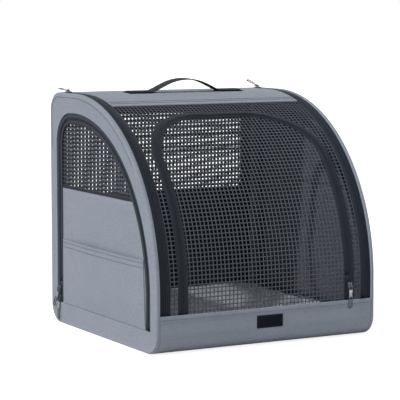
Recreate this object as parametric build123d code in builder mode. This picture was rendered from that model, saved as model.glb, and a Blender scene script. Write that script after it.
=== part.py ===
from build123d import *
import os
from math import cos, degrees, atan2, radians, sin, sqrt

os.makedirs("parts", exist_ok=True)

# Soft-sided travel crate for a dog. X is the width, the curved front faces -Y, Z is up,
# and the origin is on the floor under the middle of the crate. Millimetres.

# Driving dimensions of the body
WIDTH = 470              # across both side panels
DEPTH = 460              # front face to back face
HEIGHT = 460             # floor to the flat top, without the handle
FRONT_R = 350            # the curved front, from the vertical face up to the flat top
CORNER_R = 38            # the other three corners of the side outline
WALL = 3                 # padded fabric
RIM = 8                  # depth of the side panel's edge, outside the cover
RIM_WALL = 2             # fabric round the hoop's channel in that edge
RIM_BACK = 1.2           # cloth between the channel and the cover
RIM_EDGE = 1.6           # bevel of the side panel's outer edge
SIDE_FACE = 3            # thickness of the side panel's face
HOOP_W, HOOP_T = 3.4, 1.2  # flat spring-steel strip in the channel
HOOP_GAP = 0.6           # between the strip and the channel's outer wall
BAND_TOP = 73            # top of the front band
STRIP_ANGLE = 19         # where the top strip ends on the curve, from straight up

# Centres of the curves of the side outline
ARC_Y = -DEPTH / 2 + FRONT_R
ARC_Z = HEIGHT - FRONT_R
REAR_Y = DEPTH / 2 - CORNER_R
COVER_X = WIDTH / 2 - RIM

# Zips: two tapes side by side, with the coil on their meeting edges
SKIN_IN = 2.0            # tapes and nets lie this deep under the outer face
TAPE = 1.2               # thickness of a tape
NET = 1.2                # thickness of a net
COIL_TOP = 0.2           # depth of the coil's top under the outer face
COIL_HALF = 2.1          # width of one half of the coil
ZIP_GAP = 0.6            # between the two halves
ZIP_WIDTH = 22           # both tapes together
ZIP_MID = ZIP_WIDTH / 2
ARC_ZIP_WIDTH = 21
PARK_WIDTH = 6.5         # a parked slider needs this much of the door's own tape
PARK_GAP = 0.8

# Front door: its outline is drawn on a plane that faces the curve at 45 degrees
DOOR_HALF = 190
DOOR_TOP = 283.5
DOOR_CORNER_R = 140
DOOR_GAP = 1.0           # above the front band
FRONT_PARK_Z = 100
FRONT_PARK_TOP = 122

# Side doors: outer edge of the zip, on Y and Z
SIDE_REAR = 200
SIDE_FRONT = -205
SIDE_SEAM = 42           # the door turns on this seam
SIDE_ARC_R = 320
SIDE_ARC_Z = 102
SIDE_CORNER_R = 60
SIDE_NET_Z = 275         # the net above, fabric below
SIDE_GAP = 0.8
SIDE_FABRIC = 2.5
SIDE_UNDER = 4           # the door's fabric runs this far under its tape
LOW_PARK_Z = 50
HIGH_PARK_Z = 68
SIDE_PARK_TOP = 84
POCKET_TOP = 169
POCKET_CLOTH = 1.5
POCKET_DRAW = 7          # the pocket's mouth starts this much further from the front edge
# Bulge of the pocket at its foot, above it, and at its mouth
POCKET_BULGES = (0.4, 5.5, 6)
POCKET_BELLY = 30        # height of the second of these above the foot

# Back window and the coarse nets of the flat windows
WINDOW_X = 207
WINDOW_LOW = 245
WINDOW_HIGH = 416
WINDOW_R = 12
BINDING, BINDING_T = 10, 1.5
NET_PITCH, NET_STRAND = 42, 7
WINDOW_GAPS = (9, 4)     # columns and rows of the back window's net
SIDE_NET_GAPS = (9, 4)
SIDE_NET_MID = (0, 351)  # middle of the side net's grid, on Y and Z
NET_HEM, NET_EDGE = 4, 3 # whole cloth along a net's foot, and beside the door's tape

# Handle
HANDLE_Y = 103
HANDLE_W = 28
PATCH_X = (76, 127)
PATCH_W = 32
PATCH = 1.2
PATCH_R = 2
STRAP = 2.0
STRAP_RISE = 24          # height of the arch over the patches
STRAP_END = 4            # from the strap's end to the patch's end
STRAP_LIFT = 6           # from the patch's inner end to where the strap leaves it
SHOULDER_X, SHOULDER_DROP = 38, 7
STRAP_RADII = [30, 60, 120, 60, 30]

# Floor
BOARD = 6
BOARD_Y = 380
BOARD_R = 14
MAT_X, MAT_Y, MAT_MID_Y, MAT_R = 444, 428, 2, 34
MAT_SEAM, MAT_UNDER = 26, 25
MAT_BANDS = [(18, 16), (7, 50), (3, 75)]   # rise and lean of each band above the seam

# Stiffening board under the top strip
TOP_BOARD = 1.6
TOP_BOARD_ANGLE = 15     # its front end on the curve
TOP_BOARD_REAR, TOP_BOARD_SIDE = 8, 30

# Label, blank
LABEL_W, LABEL_H, LABEL_Z = 56, 24, 47
LABEL, LABEL_R = 1.2, 1.5

# Zip sliders and pulls
SLIDER_L, SLIDER_W, SLIDER_CUT = 14, 9.6, 2
PLATE_LOW, PLATE_HIGH = 0.4, 2.0
FLANGE_LOW = -1.4
CHANNEL_W = 6.4
BRIDGE_TOP, BRIDGE_WALL, BRIDGE_L, BRIDGE_W, BRIDGE_CUT = 6.2, 1.3, 10, 2.4, 2
EYE_R, EYE_HOLE_R = 5.0, 3.4
PULL_T, PULL_W, PULL_L = 1.6, 7.2, 44
PULL_SLOT, PULL_SLOT_W, PULL_SLOT_END = 19, 3.8, 1.7
PULL_NECK = 0.4          # from the hole in the eye to the tab
PULL_CUT, PULL_SLOT_CUT, EYE_CUT, EYE_HOLE_CUT = 2, 1.1, 2.9, 1.9
HINGE_UP, HINGE_OUT = 0.6, 3.45
HIGH_PULL_LEAN = 36
TOP_PULL_TILT = 15
ARC_PARK_Y = 182

FAR = 700                # past everything, for cutting shapes
SIDE_PLANE = Plane.YZ


def save(piece, name):
    piece.part.label = name
    export_step(piece.part, f"parts/{name}.step")


def save_pair(piece, name):
    """Write a piece of the right side, and its mirror image for the left side."""
    save(piece, f"{name}_right")
    with BuildPart() as twin:
        mirror(piece.part, about=Plane.YZ)
    save(twin, f"{name}_left")


def outline_edges(inset):
    """The crate's side outline, set in from the outer face."""
    top, back = HEIGHT - inset, DEPTH / 2 - inset
    corner = CORNER_R - inset
    with BuildLine() as edges:
        CenterArc((ARC_Y, ARC_Z), FRONT_R - inset, 90, 90)
        Line((-back, ARC_Z), (-back, CORNER_R))
        CenterArc((-REAR_Y, CORNER_R), corner, 180, 90)
        Line((-REAR_Y, inset), (REAR_Y, inset))
        CenterArc((REAR_Y, CORNER_R), corner, 270, 90)
        Line((back, CORNER_R), (back, HEIGHT - CORNER_R))
        CenterArc((REAR_Y, HEIGHT - CORNER_R), corner, 0, 90)
        Line((REAR_Y, top), (ARC_Y, top))
    return edges.line


def outline_face(inset):
    with BuildSketch() as face:
        add(outline_edges(inset))
        make_face()
    return face.sketch


def skin(outer, inner, corners):
    """Section of a skin between two depths, kept inside a polygon on Y and Z."""
    with BuildSketch() as section:
        add(outline_face(outer))
        add(outline_face(inner), mode=Mode.SUBTRACT)
        with BuildLine():
            Polyline(*corners, close=True)
        make_face(mode=Mode.INTERSECT)
    return section.sketch


def box_corners(y0, y1, z0, z1):
    return [(y0, z0), (y1, z0), (y1, z1), (y0, z1)]


def wedge_end(angle):
    """A point far out on the line that leaves the curve's centre at an angle from straight up."""
    return (ARC_Y - FAR * sin(radians(angle)), ARC_Z + FAR * cos(radians(angle)))


def across(section, x0, x1):
    """A section on Y and Z, carried from x0 to x1."""
    with BuildPart() as piece:
        extrude(SIDE_PLANE.offset(x0) * section, amount=x1 - x0, dir=(1, 0, 0))
    return piece.part


TRACK = box_corners(-FAR, REAR_Y, BAND_TOP, FAR)
STRIP_END = wedge_end(STRIP_ANGLE)
TOP_STRIP = [(ARC_Y, ARC_Z), (REAR_Y, ARC_Z), (REAR_Y, FAR), STRIP_END]

# Bottom cover: the fabric that the crate stands on
with BuildPart() as bottom_cover:
    add(across(skin(0, WALL, box_corners(-REAR_Y, REAR_Y, -1, 20)), -COVER_X, COVER_X))
save(bottom_cover, "bottom_cover")

# Front band: stands up in front of the floor and rolls under at its foot
with BuildPart() as front_band:
    add(across(skin(0, WALL, box_corners(-FAR, -REAR_Y, -1, BAND_TOP)), -COVER_X, COVER_X))
save(front_band, "front_band")

# Blank label patch on the front band
with BuildPart() as label_patch:
    with BuildSketch(Plane.XZ.offset(DEPTH / 2)):
        with Locations((0, LABEL_Z)):
            RectangleRounded(LABEL_W, LABEL_H, LABEL_R)
    extrude(amount=LABEL)
save(label_patch, "label_patch")

# Back panel with its window opening
WINDOW_MID = (WINDOW_LOW + WINDOW_HIGH) / 2
WINDOW_H = WINDOW_HIGH - WINDOW_LOW
BACK_PLANE = Plane(origin=(0, DEPTH / 2, 0), x_dir=(1, 0, 0), z_dir=(0, -1, 0))
with BuildPart() as back_panel:
    add(across(skin(0, WALL, box_corners(REAR_Y, FAR, -1, FAR)), -COVER_X, COVER_X))
    with BuildSketch(BACK_PLANE):
        with Locations((0, WINDOW_MID)):
            RectangleRounded(2 * WINDOW_X, WINDOW_H, WINDOW_R)
    extrude(amount=2 * WALL, mode=Mode.SUBTRACT)
save(back_panel, "back_panel")

# Binding round the back window: a folded tape on the panel's inner side, over the net's edge
with BuildPart() as back_window_binding:
    with BuildSketch(BACK_PLANE.offset(WALL)):
        with Locations((0, WINDOW_MID)):
            RectangleRounded(2 * WINDOW_X + BINDING, WINDOW_H + BINDING, WINDOW_R + BINDING / 2)
            RectangleRounded(2 * WINDOW_X - BINDING, WINDOW_H - BINDING, WINDOW_R - BINDING / 2,
                             mode=Mode.SUBTRACT)
    extrude(amount=BINDING_T)
save(back_window_binding, "back_window_binding")

NET_GAP = NET_PITCH - NET_STRAND

# Back window net, with a coarse grid of gaps
with BuildPart() as back_window_net:
    with BuildSketch(BACK_PLANE.offset(WALL - NET)) as net:
        with Locations((0, WINDOW_MID)):
            RectangleRounded(2 * WINDOW_X, WINDOW_H, WINDOW_R)
            with GridLocations(NET_PITCH, NET_PITCH, *WINDOW_GAPS):
                Rectangle(NET_GAP, NET_GAP, mode=Mode.SUBTRACT)
    extrude(amount=NET)
save(back_window_net, "back_window_net")

# Top strip: from the back panel over the flat top and a little way down the curve
with BuildPart() as top_panel:
    add(across(skin(0, WALL, TOP_STRIP), -COVER_X + ARC_ZIP_WIDTH, COVER_X - ARC_ZIP_WIDTH))
save(top_panel, "top_panel")

# Stiffening board sewn under the top strip, below the handle
board_rear = REAR_Y - TOP_BOARD_REAR
board_zone = [(ARC_Y, ARC_Z), (board_rear, ARC_Z), (board_rear, FAR), wedge_end(TOP_BOARD_ANGLE)]
board_x = COVER_X - TOP_BOARD_SIDE
with BuildPart() as top_board:
    add(across(skin(WALL, WALL + TOP_BOARD, board_zone), -board_x, board_x))
save(top_board, "top_board")

# Handle patches: sewn on the top strip where the strap lands. Their top lies in one plane.
LEAN = degrees(atan2(ARC_Y - HANDLE_Y, FRONT_R))
HANDLE_Z = ARC_Z + sqrt(FRONT_R ** 2 - (ARC_Y - HANDLE_Y) ** 2)
HANDLE_PLANE = Plane(origin=(0, HANDLE_Y, HANDLE_Z), x_dir=(1, 0, 0),
                     z_dir=(0, -sin(radians(LEAN)), cos(radians(LEAN))))
with BuildPart() as handle_patch:
    with BuildSketch(HANDLE_PLANE.offset(-PATCH)):
        with Locations(((PATCH_X[0] + PATCH_X[1]) / 2, 0)):
            RectangleRounded(PATCH_X[1] - PATCH_X[0], PATCH_W, PATCH_R)
    extrude(amount=2 * PATCH)
    add(across(outline_face(0), 0, COVER_X), mode=Mode.SUBTRACT)
save_pair(handle_patch, "handle_patch")

# Webbing strap: flat on its patches, with an arch between them for the hand
STRAP_PLANE = Plane(origin=HANDLE_PLANE.origin, x_dir=(1, 0, 0), z_dir=-HANDLE_PLANE.y_dir)
with BuildPart() as handle_strap:
    with BuildSketch(STRAP_PLANE):
        with BuildLine():
            base = PATCH + STRAP / 2
            end, lift = PATCH_X[1] - STRAP_END, PATCH_X[0] + STRAP_LIFT
            shoulder = base + STRAP_RISE - SHOULDER_DROP
            FilletPolyline((-end, base), (-lift, base), (-SHOULDER_X, shoulder), (0, base + STRAP_RISE),
                           (SHOULDER_X, shoulder), (lift, base), (end, base), radius=STRAP_RADII)
        trace(line_width=STRAP)
    extrude(amount=HANDLE_W / 2, both=True)
save(handle_strap, "handle_strap")

# Floor board and the padded mat on it
with BuildPart() as base_board:
    with BuildSketch(Plane.XY.offset(WALL)):
        RectangleRounded(MAT_X, BOARD_Y, BOARD_R)
    extrude(amount=BOARD)
save(base_board, "base_board")

# The mat's sides draw in below and above the seam round its middle, up to a crowned top
with BuildPart() as floor_mat:
    with BuildSketch(Plane.XY.offset(MAT_SEAM)) as mat_outline:
        with Locations((0, MAT_MID_Y)):
            RectangleRounded(MAT_X, MAT_Y, MAT_R)
    extrude(amount=MAT_SEAM - WALL - BOARD, dir=(0, 0, -1), taper=MAT_UNDER)
    extrude(mat_outline.sketch, amount=MAT_BANDS[0][0], taper=MAT_BANDS[0][1])
    for rise, lean in MAT_BANDS[1:]:
        extrude(floor_mat.faces().sort_by(Axis.Z)[-1], amount=rise, taper=lean)
save(floor_mat, "floor_mat")


def side_door_face(inset, low=SIDE_SEAM):
    """The side door's outline, set in from the outer edge of its zip, down to a height."""
    arc_y = SIDE_FRONT + SIDE_ARC_R
    corner_y = SIDE_REAR - SIDE_CORNER_R
    reach = SIDE_ARC_R - SIDE_CORNER_R
    corner_z = SIDE_ARC_Z + sqrt(reach ** 2 - (corner_y - arc_y) ** 2)
    turn = degrees(atan2(corner_z - SIDE_ARC_Z, corner_y - arc_y))
    rear, front = SIDE_REAR - inset, SIDE_FRONT + inset
    with BuildSketch() as face:
        with BuildLine():
            CenterArc((arc_y, SIDE_ARC_Z), SIDE_ARC_R - inset, turn, 180 - turn)
            Line((front, SIDE_ARC_Z), (front, low))
            Line((front, low), (rear, low))
            Line((rear, low), (rear, corner_z))
            CenterArc((corner_y, corner_z), SIDE_CORNER_R - inset, 0, turn)
        make_face()
    return face.sketch


def side_ring(outer, inner, low=SIDE_SEAM):
    """The strip of the side door's outline between two insets, open at the bottom."""
    with BuildSketch() as ring:
        add(side_door_face(outer, low))
        add(side_door_face(inner, low - 5), mode=Mode.SUBTRACT)
    return ring.sketch


def parked(strip):
    """The part of a side zip's strip where the sliders are parked."""
    with BuildSketch() as kept:
        add(strip)
        with BuildLine():
            Polyline(*box_corners(ARC_Y, FAR, SIDE_SEAM, SIDE_PARK_TOP), close=True)
        make_face(mode=Mode.INTERSECT)
    return kept.sketch


FACE_X = WIDTH / 2
TAPE_X = FACE_X - SKIN_IN - TAPE
COIL_X = FACE_X - SKIN_IN
COIL_END_X = FACE_X - COIL_TOP
HALF_GAP = ZIP_GAP / 2

# Side panel: a flat face with the door's opening, and an edge that is a channel for the hoop
with BuildPart() as side_panel:
    add(across(outline_face(0), COVER_X, FACE_X))
    rim_edge = side_panel.faces().sort_by(Axis.X)[-1].edges()
    chamfer(rim_edge, length=RIM_EDGE)
    add(across(outline_face(RIM_WALL), COVER_X + RIM_BACK, FACE_X - SIDE_FACE), mode=Mode.SUBTRACT)
    add(across(outline_face(RIM + 1), COVER_X - 1, COVER_X + 2), mode=Mode.SUBTRACT)
    add(across(side_door_face(0), FACE_X - 2 * SIDE_FACE, FACE_X + 1), mode=Mode.SUBTRACT)
save_pair(side_panel, "side_panel")

# Hoop of flat spring steel in the channel: it holds the side panel's shape
HOOP_X = (COVER_X + RIM_BACK + FACE_X - SIDE_FACE) / 2
HOOP_INSET = RIM_WALL + HOOP_GAP
with BuildPart() as side_hoop:
    hoop_section = outline_face(HOOP_INSET) - outline_face(HOOP_INSET + HOOP_T)
    add(across(hoop_section, HOOP_X - HOOP_W / 2, HOOP_X + HOOP_W / 2))
save_pair(side_hoop, "side_hoop")

# Zips between the side panels and the cover: two tapes, joined by the closed coil between them
ARC_ZIP_X = COVER_X - ARC_ZIP_WIDTH / 2
with BuildPart() as arc_zip:
    tape_section = skin(SKIN_IN, SKIN_IN + TAPE, TRACK)
    add(across(tape_section, COVER_X - ARC_ZIP_WIDTH, ARC_ZIP_X - HALF_GAP))
    add(across(tape_section, ARC_ZIP_X + HALF_GAP, COVER_X))
    coil_section = skin(COIL_TOP, SKIN_IN, TRACK)
    add(across(coil_section, ARC_ZIP_X - COIL_HALF - HALF_GAP, ARC_ZIP_X + COIL_HALF + HALF_GAP))
save_pair(arc_zip, "arc_zip")

# The curved front: everything here is cut from one skin by outlines that face it at 45 degrees
CUT_PLANE = Plane(origin=(0, 0, 0), x_dir=(1, 0, 0), z_dir=(0, -1, 1))
NET_X = COVER_X - ARC_ZIP_WIDTH


def door_face(inset):
    """The front door's outline on the cutting plane: straight legs and two round corners."""
    low = -FAR / 2
    top = DOOR_TOP - inset
    with BuildSketch() as face:
        with Locations((0, (top + low) / 2)):
            Rectangle(2 * (DOOR_HALF - inset), top - low)
        fillet(face.vertices().group_by(Axis.Y)[-1], radius=DOOR_CORNER_R - inset)
    return face.sketch


def door_cutter(outer, inner=None):
    """A long prism through the curved front, with the outline of a door or of a strip round it."""
    with BuildPart() as cutter:
        with BuildSketch(CUT_PLANE):
            add(door_face(outer))
            if inner is not None:
                add(door_face(inner), mode=Mode.SUBTRACT)
        extrude(amount=FAR)
    return cutter.part


def park_block(low, top, inner_x):
    """The space beside the door's right leg that belongs to the parked slider."""
    with BuildPart() as block:
        with BuildSketch(Plane.XY.offset(low)):
            with Locations(((inner_x + FAR) / 2, -DEPTH / 2)):
                Rectangle(FAR - inner_x, 40)
        extrude(amount=top - low)
    return block.part


def front_skin(outer, inner, low=BAND_TOP, x=NET_X):
    region = [(ARC_Y, ARC_Z), STRIP_END, (-FAR, FAR), (-FAR, low), (ARC_Y, low)]
    return across(skin(outer, inner, region), -x, x)


DOOR_LOW = BAND_TOP + DOOR_GAP
FIXED_EDGE = ZIP_MID - HALF_GAP
MOVING_EDGE = ZIP_MID + HALF_GAP
PARK_EDGE = MOVING_EDGE + PARK_WIDTH
PARK_X = DOOR_HALF - PARK_EDGE

with BuildPart() as front_surround:
    add(front_skin(SKIN_IN, SKIN_IN + NET))
    add(door_cutter(0), mode=Mode.SUBTRACT)
save(front_surround, "front_surround")

def front_strip(outer, inner, edges, low=BAND_TOP):
    """A strip of the front, between two depths and between two insets of the door's outline."""
    with BuildPart() as strip:
        add(front_skin(outer, inner, low))
        add(door_cutter(*edges), mode=Mode.INTERSECT)
    return strip.part


# Fixed half of the front zip: its tape, with the coil along its inner edge.
# At its lower right end both halves are sewn down, under the parked slider.
FRONT_PARK = park_block(BAND_TOP, FRONT_PARK_TOP, 0)
with BuildPart() as front_parked_half:
    add(front_strip(SKIN_IN, SKIN_IN + TAPE, (FIXED_EDGE - 1, PARK_EDGE)))
    add(front_strip(COIL_TOP, SKIN_IN, (FIXED_EDGE - 1, MOVING_EDGE + COIL_HALF)))
    add(FRONT_PARK, mode=Mode.INTERSECT)
with BuildPart() as front_zip_fixed:
    add(front_strip(SKIN_IN, SKIN_IN + TAPE, (0, FIXED_EDGE)))
    add(front_strip(COIL_TOP, SKIN_IN, (FIXED_EDGE - COIL_HALF, FIXED_EDGE)))
    add(front_parked_half.part)
save(front_zip_fixed, "front_zip_fixed")

# The door's own half of the zip, tape and coil, which ends above the parked slider
FRONT_PARK_ROOM = park_block(0, FRONT_PARK_TOP + PARK_GAP, PARK_X - PARK_GAP)
with BuildPart() as front_zip_door:
    add(front_strip(SKIN_IN, SKIN_IN + TAPE, (MOVING_EDGE, ZIP_WIDTH), DOOR_LOW))
    add(FRONT_PARK_ROOM, mode=Mode.SUBTRACT)
save(front_zip_door, "front_zip_door")

with BuildPart() as front_zip_door_coil:
    add(front_strip(COIL_TOP, SKIN_IN, (MOVING_EDGE, MOVING_EDGE + COIL_HALF), DOOR_LOW))
    add(FRONT_PARK_ROOM, mode=Mode.SUBTRACT)
save(front_zip_door_coil, "front_zip_door_coil")

# The front door's net follows the curve between the inner edges of the door's tape
with BuildPart() as front_door_net:
    add(front_skin(SKIN_IN, SKIN_IN + NET, DOOR_LOW))
    add(door_cutter(ZIP_WIDTH), mode=Mode.INTERSECT)
save(front_door_net, "front_door_net")

# Side zip, fixed half, with both halves sewn down at the rear foot where the sliders are parked
with BuildPart() as side_zip_fixed:
    add(across(side_ring(0, FIXED_EDGE), TAPE_X, COIL_X))
    add(across(side_ring(FIXED_EDGE - COIL_HALF, FIXED_EDGE), COIL_X, COIL_END_X))
    add(across(parked(side_ring(FIXED_EDGE, PARK_EDGE)), TAPE_X, COIL_X))
    add(across(parked(side_ring(FIXED_EDGE, MOVING_EDGE + COIL_HALF)), COIL_X, COIL_END_X))
save_pair(side_zip_fixed, "side_zip_fixed")

# Side door: its half of the zip, the fabric below, the net above and the pocket
DOOR_FOOT = SIDE_SEAM + SIDE_GAP


def clear_of_park(strip):
    """Cut a side door's strip back by a little more than the space of the parked sliders."""
    with BuildSketch() as kept:
        add(strip)
        with BuildLine():
            Polyline(*box_corners(ARC_Y, FAR, 0, SIDE_PARK_TOP + PARK_GAP), close=True)
        make_face(mode=Mode.SUBTRACT)
        add(side_door_face(PARK_EDGE + PARK_GAP, DOOR_FOOT), mode=Mode.ADD)
        add(strip, mode=Mode.INTERSECT)
    return kept.sketch


with BuildPart() as side_zip_door:
    add(across(clear_of_park(side_ring(MOVING_EDGE, ZIP_WIDTH, DOOR_FOOT)), TAPE_X, COIL_X))
save_pair(side_zip_door, "side_zip_door")

with BuildPart() as side_zip_door_coil:
    coil_strip = clear_of_park(side_ring(MOVING_EDGE, MOVING_EDGE + COIL_HALF, DOOR_FOOT))
    add(across(coil_strip, COIL_X, COIL_END_X))
save_pair(side_zip_door_coil, "side_zip_door_coil")

FABRIC_EDGE = ZIP_WIDTH - SIDE_UNDER
with BuildSketch() as door_fabric:
    add(side_door_face(FABRIC_EDGE, DOOR_FOOT))
    with BuildLine():
        Polyline(*box_corners(-FAR, FAR, 0, SIDE_NET_Z), close=True)
    make_face(mode=Mode.INTERSECT)
with BuildPart() as side_door_panel:
    add(across(door_fabric.sketch, TAPE_X - SIDE_FABRIC, TAPE_X))
save_pair(side_door_panel, "side_door_panel")

with BuildSketch() as net_gaps:
    with Locations(SIDE_NET_MID):
        with GridLocations(NET_PITCH, NET_PITCH, *SIDE_NET_GAPS):
            Rectangle(NET_GAP, NET_GAP)
    add(side_door_face(ZIP_WIDTH + NET_EDGE), mode=Mode.INTERSECT)
    with BuildLine():
        Polyline(*box_corners(-FAR, FAR, SIDE_NET_Z + NET_HEM, FAR), close=True)
    make_face(mode=Mode.INTERSECT)
with BuildSketch() as door_net:
    add(side_door_face(FABRIC_EDGE))
    with BuildLine():
        Polyline(*box_corners(-FAR, FAR, SIDE_NET_Z, FAR), close=True)
    make_face(mode=Mode.INTERSECT)
    add([gap for gap in net_gaps.faces() if gap.area > NET_GAP ** 2 / 3], mode=Mode.SUBTRACT)
with BuildPart() as side_door_net:
    add(across(door_net.sketch, TAPE_X - NET, TAPE_X))
save_pair(side_door_net, "side_door_net")


def pocket_section(height, bulge, front, rear):
    """Plan of the pocket's cloth at a height: sewn at both ends, bowed outwards between them."""
    with BuildSketch(Plane.XY.offset(height)) as section:
        with BuildLine():
            middle = (front + rear) / 2
            ThreePointArc((TAPE_X, front), (TAPE_X + bulge, middle), (TAPE_X, rear))
            Line((TAPE_X, rear), (TAPE_X + POCKET_CLOTH, rear))
            ThreePointArc((TAPE_X + POCKET_CLOTH, rear), (TAPE_X + POCKET_CLOTH + bulge, middle),
                          (TAPE_X + POCKET_CLOTH, front))
            Line((TAPE_X + POCKET_CLOTH, front), (TAPE_X, front))
        make_face()
    return section.sketch


POCKET_REAR = SIDE_REAR - ZIP_WIDTH - 1
POCKET_FRONT = SIDE_FRONT + ZIP_WIDTH + 1
with BuildPart() as side_pocket:
    foot = pocket_section(DOOR_FOOT, POCKET_BULGES[0], POCKET_FRONT, POCKET_REAR)
    belly = pocket_section(DOOR_FOOT + POCKET_BELLY, POCKET_BULGES[1], POCKET_FRONT, POCKET_REAR)
    mouth = pocket_section(POCKET_TOP, POCKET_BULGES[2], POCKET_FRONT + POCKET_DRAW, POCKET_REAR)
    loft([foot, belly, mouth], ruled=True)
save_pair(side_pocket, "side_pocket")

# Slider: a plate with two flanges that straddle the coil, and a bridge for the pull.
# It lies on its own X and Y, with Y up the zip and Z out of the fabric.
with BuildPart() as slider:
    with BuildSketch(Plane.XY.offset(FLANGE_LOW)) as slider_plan:
        Rectangle(SLIDER_W, SLIDER_L)
        chamfer(slider_plan.vertices(), length=SLIDER_CUT)
    extrude(amount=PLATE_HIGH - FLANGE_LOW)
    with BuildSketch(Plane.XY.offset(FLANGE_LOW)):
        Rectangle(CHANNEL_W, 2 * SLIDER_L)
    extrude(amount=PLATE_LOW - FLANGE_LOW, mode=Mode.SUBTRACT)
    with BuildSketch(Plane.YZ) as bridge:
        bridge_h = BRIDGE_TOP - PLATE_HIGH
        with Locations((0, PLATE_HIGH + bridge_h / 2)):
            Rectangle(BRIDGE_L, bridge_h)
        chamfer(bridge.vertices().group_by(Axis.Y)[-1], length=BRIDGE_CUT)
        with Locations((0, PLATE_HIGH + (bridge_h - BRIDGE_WALL) / 2)):
            Rectangle(BRIDGE_L - 2 * BRIDGE_WALL, bridge_h - BRIDGE_WALL, mode=Mode.SUBTRACT)
    extrude(amount=BRIDGE_W / 2, both=True)


def cut_corners(width, length, cut):
    """A rectangle with its corners cut off, as stamped sheet metal has them."""
    with BuildSketch() as plate:
        Rectangle(width, length)
        chamfer(plate.vertices(), length=cut)
    return plate.sketch


def pull_shape(lean):
    """Pull with its eye on the hinge line, hanging down -Y, and turned by lean about the eye."""
    eye = (0, -(EYE_R + EYE_HOLE_R) / 2)
    tab_top = eye[1] - EYE_HOLE_R - PULL_NECK
    with BuildPart() as pull:
        with BuildSketch(Plane.XY.offset(-PULL_T / 2)):
            with Locations((0, (tab_top - PULL_L) / 2)):
                add(cut_corners(PULL_W, PULL_L + tab_top, PULL_CUT))
            with Locations((0, PULL_SLOT / 2 - PULL_L + PULL_SLOT_END)):
                add(cut_corners(PULL_SLOT_W, PULL_SLOT, PULL_SLOT_CUT), mode=Mode.SUBTRACT)
            with Locations(eye):
                add(cut_corners(2 * EYE_R, 2 * EYE_R, EYE_CUT))
                add(cut_corners(2 * EYE_HOLE_R, 2 * EYE_HOLE_R, EYE_HOLE_CUT), mode=Mode.SUBTRACT)
        extrude(amount=PULL_T)
    return pull.part.rotate(Axis((0, eye[1], 0), (0, 0, 1)), lean)


def slider_plane(origin, up, out):
    """Frame of a slider: Y up the zip and Z out of the fabric."""
    return Plane(origin=origin, x_dir=Vector(up).cross(Vector(out)), z_dir=out)


def place_slider(frame, name, pair):
    with BuildPart() as piece:
        with Locations(frame):
            add(slider.part)
    (save_pair if pair else save)(piece, name)


def place_pull(frame, name, pair, lean=0, tilt=0):
    """The pull hangs from the slider's bridge; tilt lifts its free end off the fabric."""
    hinge = Plane(frame.origin + frame.y_dir * HINGE_UP + frame.z_dir * HINGE_OUT,
                  x_dir=frame.x_dir, z_dir=frame.z_dir)
    with BuildPart() as piece:
        with Locations(hinge.rotated((tilt, 0, 0))):
            add(pull_shape(lean))
    (save_pair if pair else save)(piece, name)


FRONT_ZIP_X = DOOR_HALF - ZIP_MID
front_frame = slider_plane((FRONT_ZIP_X, -DEPTH / 2, FRONT_PARK_Z), (0, 0, 1), (0, -1, 0))
place_slider(front_frame, "front_slider", False)
place_pull(front_frame, "front_pull", False)

arc_frame = slider_plane((ARC_ZIP_X, ARC_PARK_Y, HEIGHT), (0, -1, 0), (0, 0, 1))
place_slider(arc_frame, "arc_slider", True)
place_pull(arc_frame, "arc_pull", True, tilt=TOP_PULL_TILT)

SIDE_ZIP_Y = SIDE_REAR - ZIP_MID
low_frame = slider_plane((FACE_X, SIDE_ZIP_Y, LOW_PARK_Z), (0, 0, 1), (1, 0, 0))
high_frame = slider_plane((FACE_X, SIDE_ZIP_Y, HIGH_PARK_Z), (0, 0, 1), (1, 0, 0))
place_slider(low_frame, "side_lower_slider", True)
place_pull(low_frame, "side_lower_pull", True)
place_slider(high_frame, "side_upper_slider", True)
place_pull(high_frame, "side_upper_pull", True, lean=HIGH_PULL_LEAN)
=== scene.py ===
import math

import bmesh
import bpy
from mathutils import Matrix, Vector
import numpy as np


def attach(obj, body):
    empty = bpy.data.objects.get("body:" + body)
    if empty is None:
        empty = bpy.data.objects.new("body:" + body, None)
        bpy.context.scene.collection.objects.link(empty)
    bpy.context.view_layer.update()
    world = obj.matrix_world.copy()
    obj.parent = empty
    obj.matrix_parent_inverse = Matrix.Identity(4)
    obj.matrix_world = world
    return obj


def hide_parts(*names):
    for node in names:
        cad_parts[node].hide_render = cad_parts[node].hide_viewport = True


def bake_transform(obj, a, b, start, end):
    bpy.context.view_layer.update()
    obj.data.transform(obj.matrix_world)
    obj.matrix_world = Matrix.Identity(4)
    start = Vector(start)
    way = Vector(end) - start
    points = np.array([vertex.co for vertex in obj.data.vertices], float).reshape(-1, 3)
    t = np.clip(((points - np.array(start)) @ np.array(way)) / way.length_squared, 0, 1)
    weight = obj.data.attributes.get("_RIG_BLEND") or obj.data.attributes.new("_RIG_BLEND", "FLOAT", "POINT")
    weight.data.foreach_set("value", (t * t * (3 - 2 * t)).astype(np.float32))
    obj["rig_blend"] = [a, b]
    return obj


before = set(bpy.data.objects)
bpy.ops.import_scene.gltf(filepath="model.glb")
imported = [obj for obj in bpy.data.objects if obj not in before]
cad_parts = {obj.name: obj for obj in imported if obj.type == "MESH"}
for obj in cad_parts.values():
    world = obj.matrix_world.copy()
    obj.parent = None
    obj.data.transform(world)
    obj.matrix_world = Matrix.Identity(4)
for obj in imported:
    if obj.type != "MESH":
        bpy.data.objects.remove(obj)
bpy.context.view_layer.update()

# Studio: a white floor and background, an even white sky, a hard lamp high at the left, and weaker
# ones in front and at the right. The camera stands low at the front left, with a long lens.
scene = bpy.context.scene
scene.view_settings.view_transform = "Standard"


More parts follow.
